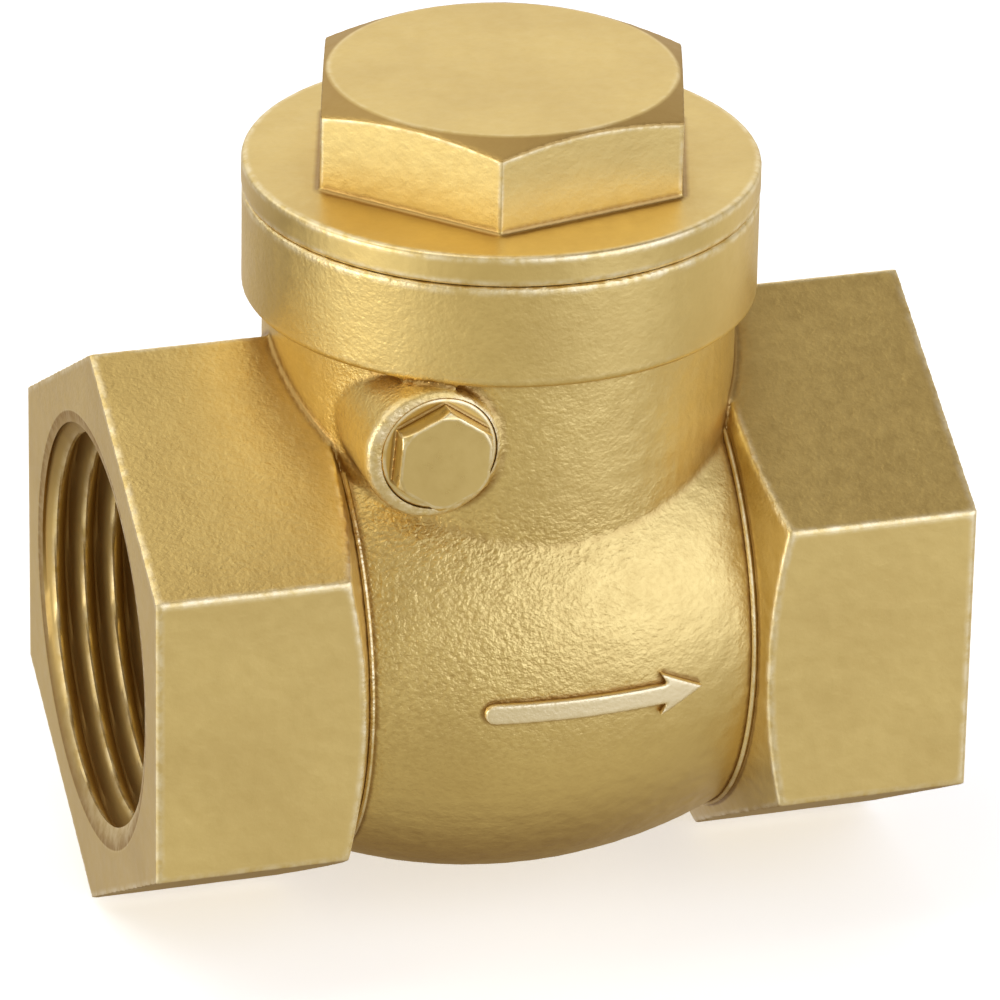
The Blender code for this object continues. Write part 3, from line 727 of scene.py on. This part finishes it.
class Nodes:
    """Short calls for building one material's node tree."""

    def __init__(self, name):
        self.material = bpy.data.materials.new(name)
        self.material.use_nodes = True
        self.tree = self.material.node_tree
        self.shader = self.tree.nodes["Principled BSDF"]

    @classmethod
    def of_world(cls, world):
        """The same short calls on an emptied world's node tree."""
        n = cls.__new__(cls)
        world.use_nodes = True
        n.tree = world.node_tree
        n.tree.nodes.clear()
        return n

    def add(self, kind, inputs=None, **settings):
        """Adds a node; inputs are values or sockets to connect, settings the node's own properties."""
        node = self.tree.nodes.new(kind)
        for key, value in settings.items():
            setattr(node, key, value)
        for key, value in (inputs or {}).items():
            self.feed(node.inputs[key], value)
        return node

    def feed(self, socket, value):
        if isinstance(value, bpy.types.NodeSocket):
            self.tree.links.new(value, socket)
        else:
            socket.default_value = value

    def math(self, operation, a, b=0.0):
        return self.add("ShaderNodeMath", {0: a, 1: b}, operation=operation).outputs[0]

    def times(self, first, *others):
        for other in others:
            first = self.math("MULTIPLY", first, other)
        return first

    def distance(self, a, b):
        """How far a place is from an axis, from its two coordinates across that axis."""
        return self.math("SQRT", self.math("ADD", self.times(a, a), self.times(b, b)))

    def remap(self, value, low, high, new_low=0.0, new_high=1.0, kind="LINEAR"):
        """Maps low to high onto new_low to new_high, and stays at the nearer end outside them."""
        inputs = {"Value": value, "From Min": low, "From Max": high}
        inputs.update({"To Min": new_low, "To Max": new_high})
        return self.add("ShaderNodeMapRange", inputs, interpolation_type=kind).outputs[0]

    def mix(self, factor, a, b):
        """Blends two colours; sockets 6 and 7 are the node's colour inputs, and output 2 its colour."""
        return self.add("ShaderNodeMix", {0: factor, 6: a, 7: b}, data_type="RGBA").outputs[2]

    def bump(self, height, distance):
        node = self.add("ShaderNodeBump", {"Height": height, "Distance": distance})
        self.feed(self.shader.inputs["Normal"], node.outputs["Normal"])

    def noise(self, place, scale, detail=2.0, roughness=0.5):
        inputs = {"Vector": place, "Scale": scale, "Detail": detail, "Roughness": roughness}
        return self.add("ShaderNodeTexNoise", inputs).outputs["Fac"]

    def place(self):
        """Position on the piece in millimetres about the middle of the flow axis."""
        coordinates = self.add("ShaderNodeTexCoord").outputs["Object"]
        inputs = {"Vector": coordinates, "Location": (0, 0, -FLOW_Z), "Scale": (1 / MM, 1 / MM, 1 / MM)}
        return self.add("ShaderNodeMapping", inputs).outputs["Vector"]


BRASS = (0.80, 0.60, 0.22, 1)
BRASS_DEEP = (0.58, 0.40, 0.13, 1)
# colour of the painted shade in corners, in the threads and on the cap's chamfer
BRASS_PAINTED_SHADE = (0.30, 0.15, 0.035, 1)
# colour of the painted edge highlights and wearing, and of the paler arrow
BRASS_HIGHLIGHT_AND_WEAR = (0.97, 0.83, 0.52, 1)
TONE_SHARE = 0.3
DIRT_PER_GRAIN = 7.0  # share of dark colour in a pit, per mm of grain
# share of painted shade in the corners
CORNER_SHADE_SHARE = 0.7
# share of painted shade in the threads and on the cap's chamfer
PAINTED_SHADE_SHARE = 0.75
# how far the arrow is painted paler
PAINTED_PALER_SHARE = 0.8
SAND_SHARE = 0.6
# roughness added where that shade is painted
SHADED_ROUGHNESS = 0.2
CORNER_BENDS = (-0.12, -0.7)  # bends, per mm, at which the painted shade in corners starts and at which it is full
EDGE_BENDS = (0.12, 0.65)  # the same for the painted highlight and the wearing on edges
STREAK_TURN = math.radians(40)
STREAK_SCALE = (2.7, 3.2, 3.6)


def brass_pits(n, place):
    """The uneven skin that shot leaves, drawn out a little into slanting streaks."""
    inputs = {"Vector": place, "Rotation": (0, STREAK_TURN, 0), "Scale": STREAK_SCALE}
    streaks = n.add("ShaderNodeMapping", inputs).outputs["Vector"]
    return n.noise(streaks, scale=0.8, detail=2.5, roughness=0.55)


def brass_colour(n, place, dirt, painted_shade, highlight_and_wear):
    """Brass with slow changes of tone, dirt in its pits, painted shade in its corners, and painted
    highlights and wearing on its edges.

    dirt, then the painted shade, and a function of an edge mask for the painted highlights, wearing and
    paling, say how much there is of each at each place.
    """
    bend = n.add("ShaderNodeAttribute", attribute_name="bend").outputs["Fac"]
    tone = n.remap(n.noise(place, scale=0.11, detail=3, roughness=0.55), 0.35, 0.65)
    colour = n.mix(n.times(tone, TONE_SHARE), BRASS, BRASS_DEEP)
    colour = n.mix(dirt, colour, BRASS_DEEP)
    # painted shade: darker in corners and creases, and in the threads and on the cap's chamfer
    corner_shade = n.times(n.remap(bend, *CORNER_BENDS), CORNER_SHADE_SHARE)
    painted_shade_amount = n.times(painted_shade, PAINTED_SHADE_SHARE)
    colour = n.mix(n.math("MAXIMUM", corner_shade, painted_shade_amount), colour, BRASS_PAINTED_SHADE)
    ragged = n.remap(n.noise(place, scale=0.8, detail=3, roughness=0.65), 0.36, 0.62, 0.15, 1.0)
    # painted highlight, with some wearing, on the convex edges
    edge = n.times(n.remap(bend, *EDGE_BENDS), ragged)
    return n.mix(highlight_and_wear(edge), colour, BRASS_HIGHLIGHT_AND_WEAR)


def brass(name, roughness, grain, skin=None, edge_highlight_and_wear=0.8):
    """Shot-blasted cast brass: streaky pitted skin, painted shade in corners, painted highlights and
    wearing on edges.

    grain is the height of the pits in mm. skin(nodes, place) returns how much of the pitting, how
    much painted edge highlight and wearing, how much all-over paling and how much painted shade,
    with more roughness, there is at each place.
    """
    n = Nodes(name)
    place = n.place()
    pitted, edge_highlight_share, painted_paler, painted_shade = skin(n, place) if skin else (1.0, 1.0, 0.0, 0.0)
    pits = brass_pits(n, place)
    dirt = n.times(n.remap(pits, 0.6, 0.3), pitted, DIRT_PER_GRAIN * grain)

    # painted highlight and wearing on edges, and the arrow painted paler all over
    def highlight_and_wear(edge):
        return n.math("MAXIMUM", n.times(edge, edge_highlight_share, edge_highlight_and_wear), n.times(painted_paler, PAINTED_PALER_SHARE))

    n.feed(n.shader.inputs["Base Color"], brass_colour(n, place, dirt, painted_shade, highlight_and_wear))
    n.shader.inputs["Metallic"].default_value = 1.0
    mottle = n.noise(place, scale=0.9, detail=4, roughness=0.6)
    rough = n.remap(mottle, 0.3, 0.7, roughness - 0.04, roughness + 0.05)
    rough = n.math("ADD", rough, n.times(painted_shade, SHADED_ROUGHNESS))
    n.feed(n.shader.inputs["Roughness"], rough)
    sand = n.noise(place, scale=3.4, detail=1.5, roughness=0.5)
    relief = n.math("ADD", pits, n.times(sand, SAND_SHARE))
    n.bump(n.times(relief, n.times(pitted, grain)), MM)
    return n.material


def body_pitting(n, across, up, at_end):
    """How pitted the body is: most on the globe's inlet side, hardly on the hexagons' lower flats."""
    globe = n.times(n.remap(up, -8, 4, 0.2, 1.0), n.remap(across, -4, 10, 1.3, 0.4))
    neck = n.remap(up, 13, 16, 1.0, 0.5)
    on_collar = n.remap(up, COLLAR_BOTTOM - 0.2, COLLAR_BOTTOM + 0.2, 1.0, 0.55)
    middle = n.times(globe, n.times(neck, on_collar), n.math("SUBTRACT", 1.0, at_end))
    end = n.remap(up, HEX_CORNER / 2 - 0.3, HEX_CORNER / 2 + 0.3, 0.08, 0.35)
    return n.math("ADD", middle, n.times(end, at_end))


def on_arrow(n, across, up, reach):
    """1 on the raised arrow, found by how proud of the globe it stands, and 0 elsewhere."""
    sag = n.math("DIVIDE", n.times(across, across), 2 * GLOBE_ARC)
    proud = n.math("SUBTRACT", n.math("ADD", reach, sag), GLOBE_RADIUS)
    below_neck = n.remap(up, 4, 3)
    clear_of_beads = n.remap(n.math("ABSOLUTE", across), 12.5, 12)
    return n.times(n.remap(proud, 0.2, 0.5), below_neck, clear_of_beads)


def body_skin(n, place):
    """Uneven pitting, no painted edge highlight under the collar, an arrow painted paler, and painted
    shade in the threads.
    """
    across, back, up = n.add("ShaderNodeSeparateXYZ", {"Vector": place}).outputs
    at_end = n.remap(n.math("ABSOLUTE", across), END_INNER - 0.5, END_INNER + 0.5)
    reach = n.distance(back, up)
    arrow = on_arrow(n, across, up, reach)
    pitted = n.times(body_pitting(n, across, up, at_end), n.remap(arrow, 0, 1, 1.0, 0.4))
    # no painted edge highlight within half a millimetre of the collar's lower edge
    collar_edge = n.math("ABSOLUTE", n.math("SUBTRACT", up, COLLAR_BOTTOM))
    # painted shade in the threaded sockets, darkest at the thread roots
    threads = n.remap(reach, SOCKET_CREST - 0.6, SOCKET_ROOT)
    inside = n.remap(reach, SOCKET_ROOT + 0.3, SOCKET_ROOT + 0.2)
    return pitted, n.remap(collar_edge, 0.5, 1.0), arrow, n.times(threads, inside, at_end)


def cap_skin(n, place):
    """Even all over, but for the chamfer that turns off the hexagon's corners: painted shade there, and
    no painted edge highlight.
    """
    across, back, up = n.add("ShaderNodeSeparateXYZ", {"Vector": place}).outputs
    past = n.math("SUBTRACT", n.distance(across, back), CAP_TOP_RADIUS)
    level = n.math("ADD", up, n.times(past, CAP_SLOPE))
    chamfer = n.times(n.remap(past, 0.0, 0.3), n.remap(level, CAP_HIGH - 0.25, CAP_HIGH - 0.12))
    return 1.0, n.math("SUBTRACT", 1.0, chamfer), 0.0, n.times(chamfer, 0.75)


def rubber(name):
    """Black rubber with a little dust on it."""
    n = Nodes(name)
    place = n.place()
    dust = n.remap(n.noise(place, scale=0.5, detail=4, roughness=0.6), 0.4, 0.7)
    colour = n.mix(dust, (0.018, 0.018, 0.018, 1), (0.05, 0.048, 0.045, 1))
    n.feed(n.shader.inputs["Base Color"], colour)
    n.feed(n.shader.inputs["Roughness"], n.remap(dust, 0, 1, 0.55, 0.75))
    n.bump(n.noise(place, scale=6, detail=3), 0.02 * MM)
    return n.material


def steel(name):
    """Ground stainless steel, its lines running along the pin."""
    n = Nodes(name)
    streaks = n.add("ShaderNodeMapping", {"Vector": n.place(), "Scale": (8, 0.6, 8)}).outputs["Vector"]
    lines = n.noise(streaks, scale=1.0, detail=4, roughness=0.6)
    n.feed(n.shader.inputs["Base Color"], n.mix(lines, (0.50, 0.49, 0.47, 1), (0.72, 0.71, 0.69, 1)))
    n.shader.inputs["Metallic"].default_value = 1.0
    n.feed(n.shader.inputs["Roughness"], n.remap(lines, 0.3, 0.7, 0.2, 0.36))
    n.bump(lines, 0.01 * MM)
    return n.material


def fibre(name):
    """Pale pressed sealing fibre."""
    n = Nodes(name)
    fibres = n.noise(n.place(), scale=3.0, detail=5, roughness=0.7)
    n.feed(n.shader.inputs["Base Color"], n.mix(fibres, (0.55, 0.53, 0.48, 1), (0.82, 0.80, 0.75, 1)))
    n.shader.inputs["Roughness"].default_value = 0.8
    n.bump(fibres, 0.03 * MM)
    return n.material


# ---------------------------------------------------------------- studio

VIEW_AZIMUTH = math.radians(-17.163)
VIEW_ELEVATION = math.radians(26.024)
VIEW_ROLL = math.radians(1.124)
VIEW_DISTANCE = 0.6167
AIM_UP = 0.0072  # how far over the flow axis the camera is aimed, in metres
AIM_RIGHT = 0.0004
LENS = 287.5
NEAREST = 0.05


def add_camera():
    """The long lens of the product shot, rolled slightly and aimed a little above the flow axis."""
    level = math.cos(VIEW_ELEVATION)
    height = math.sin(VIEW_ELEVATION)
    back = Vector((math.sin(VIEW_AZIMUTH) * level, -math.cos(VIEW_AZIMUTH) * level, height))
    middle = Vector((0, 0, FLOW_Z * MM))
    right = Vector((math.cos(VIEW_AZIMUTH), math.sin(VIEW_AZIMUTH), 0))
    aim = middle + Vector((0, 0, AIM_UP)) + right * AIM_RIGHT
    place = middle + back * VIEW_DISTANCE
    data = bpy.data.cameras.new("camera")
    data.lens = LENS
    data.clip_start = NEAREST
    camera = bpy.data.objects.new("camera", data)
    bpy.context.scene.collection.objects.link(camera)
    look = (aim - place).to_track_quat("-Z", "Y").to_matrix().to_4x4()
    camera.matrix_world = Matrix.Translation(place) @ look @ Matrix.Rotation(VIEW_ROLL, 4, "Z")
    bpy.context.scene.camera = camera


LIT_POINT = Vector((0, 0, 0.03))


def area_light(name, place, size, power):
    """A soft rectangular light, in watts and metres, turned to the middle of the valve."""
    data = bpy.data.lights.new(name, "AREA")
    data.shape = "RECTANGLE"
    data.size, data.size_y = size
    data.energy = power
    light = bpy.data.objects.new(name, data)
    light.location = place
    light.rotation_euler = (LIT_POINT - Vector(place)).to_track_quat("-Z", "Y").to_euler()
    bpy.context.scene.collection.objects.link(light)


# What the brass mirrors: the direction of each patch of the room, the cosine at which it starts and
# the one at which it is full, and how much brighter or darker than the room it is.
ROOM = (0.51, 0.475, 0.40)
PATCHES = (
    ((0.55, -0.78, 0.29), 0.72, 0.93, (1.12, 1.30, 1.95)),  # the big soft box, front right
    ((0.265, 0.86, 0.44), 0.70, 0.95, (0.48, 0.50, 0.56)),  # pale wall behind
    ((-0.87, -0.20, -0.44), 0.80, 0.97, (0.50, 0.55, 0.70)),  # table on the left
    ((-0.60, 0.42, 0.57), 0.85, 0.97, (0.85, 0.90, 1.00)),  # window behind on the left
    ((-0.40, -0.86, -0.06), 0.80, 0.97, (0.14, 0.15, 0.16)),  # room in front
    ((0.78, 0.45, -0.44), 0.78, 0.97, (0.42, 0.43, 0.46)),  # table on the right
    ((-0.265, 0.86, -0.44), 0.85, 0.97, (0.48, 0.50, 0.56)),  # table behind on the left
    ((0.30, -0.43, -0.85), 0.78, 0.97, (0.11, 0.11, 0.10)),  # table in front
    ((0.15, 0.60, -0.75), 0.50, 0.95, (-0.29, -0.32, -0.30)),  # the valve's own shade
    ((-0.70, 0.55, -0.44), 0.75, 0.97, (-0.24, -0.24, -0.22)),  # and its shade on the left
    ((0.30, 0.05, 0.95), 0.85, 0.98, (-0.34, -0.35, -0.32)),  # dark ceiling
)


def add_world():
    """White to the camera; to everything else a warm grey room with soft patches of light and shade."""
    world = bpy.data.worlds.new("studio")
    bpy.context.scene.world = world
    n = Nodes.of_world(world)
    direction = n.add("ShaderNodeTexCoord").outputs["Generated"]
    total = ROOM
    for axis, start, full, extra in PATCHES:
        inputs = {0: direction, 1: Vector(axis).normalized()}
        toward = n.add("ShaderNodeVectorMath", inputs, operation="DOT_PRODUCT").outputs["Value"]
        inputs = {0: n.remap(toward, start, full, kind="SMOOTHSTEP"), 1: extra, 2: total}
        total = n.add("ShaderNodeVectorMath", inputs, operation="MULTIPLY_ADD").outputs["Vector"]
    room = n.add("ShaderNodeBackground", {"Color": total})
    white = n.add("ShaderNodeBackground", {"Color": (1, 1, 1, 1)})
    seen = n.add("ShaderNodeLightPath").outputs["Is Camera Ray"]
    mix = n.add("ShaderNodeMixShader", {0: seen, 1: room.outputs[0], 2: white.outputs[0]})
    n.add("ShaderNodeOutputWorld", {"Surface": mix.outputs[0]})


FLOOR_SIZE = 3
FLOOR_DROP = 0.0005
FLOOR_GLOW = 0.45


def add_floor():
    """Pale paper that glows a little, so that it stays pale, and that the brass does not mirror."""
    bm = bmesh.new()
    bmesh.ops.create_grid(bm, x_segments=1, y_segments=1, size=FLOOR_SIZE)
    floor = new_object("floor", bm)
    material = bpy.data.materials.new("floor_paper")
    material.use_nodes = True
    shader = material.node_tree.nodes["Principled BSDF"]
    shader.inputs["Base Color"].default_value = (0.93, 0.93, 0.92, 1)
    shader.inputs["Roughness"].default_value = 0.9
    shader.inputs["Emission Color"].default_value = (1, 1, 1, 1)
    shader.inputs["Emission Strength"].default_value = FLOOR_GLOW
    floor.data.materials.append(material)
    floor.location.z = -FLOOR_DROP
    floor.visible_glossy = False
    floor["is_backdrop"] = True


def add_studio():
    """Camera, room, floor and two soft lights, with colours shown as they are."""
    add_camera()
    add_world()
    add_floor()
    area_light("overhead", place=(-0.09, -0.02, 0.30), size=(0.12, 0.3), power=0.14)
    area_light("inlet", place=(-0.5, -0.12, 0.06), size=(0.25, 0.25), power=0.8)
    bpy.context.scene.view_settings.view_transform = "Standard"


# ---------------------------------------------------------------- assembly


def finish_inner_pieces():
    """The small inner pieces keep their CAD shape and get their real surfaces."""
    turned_brass = brass("turned_brass", roughness=0.3, grain=0.004, edge_highlight_and_wear=0.0)
    finishes = {
        "cap_gasket": fibre("gasket_fibre"),
        "plug_washer": fibre("washer_fibre"),
        "hinge_pin": steel("pin_steel"),
        "hanger_washer": steel("washer_steel"),
        "split_pin": steel("wire_steel"),
        "rubber_facing": rubber("black_rubber"),
        "hinge_arm": turned_brass,
        "disc_holder": turned_brass,
        "facing_washer": turned_brass,
        "facing_nut": turned_brass,
        "hanger_nut": turned_brass,
    }
    for node, material in finishes.items():
        for slot in frame["nodes"][node].material_slots:
            slot.material = material


def build():
    """The three castings in place of their CAD nodes, the inner pieces' surfaces and the studio."""
    body_brass = brass("cast_brass", roughness=0.42, grain=0.095, skin=body_skin)
    set_down(body_casting(), "body", "valve_body", body_brass)
    cap_brass = brass("cap_brass", roughness=0.4, grain=0.012, skin=cap_skin)
    set_down(cap_casting(), "cap", "bonnet_cap", cap_brass)
    plug_brass = brass("plug_brass", roughness=0.3, grain=0.004)
    set_down(plug_casting(), "plug", "pin_plug", plug_brass)
    finish_inner_pieces()
    add_studio()


def corners(box):
    """A box's two corners as plain lists of numbers."""
    return [list(map(float, corner)) for corner in box]


build()
visual_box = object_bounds()
{"cad": corners(cad_box), "visual": corners(visual_box)}
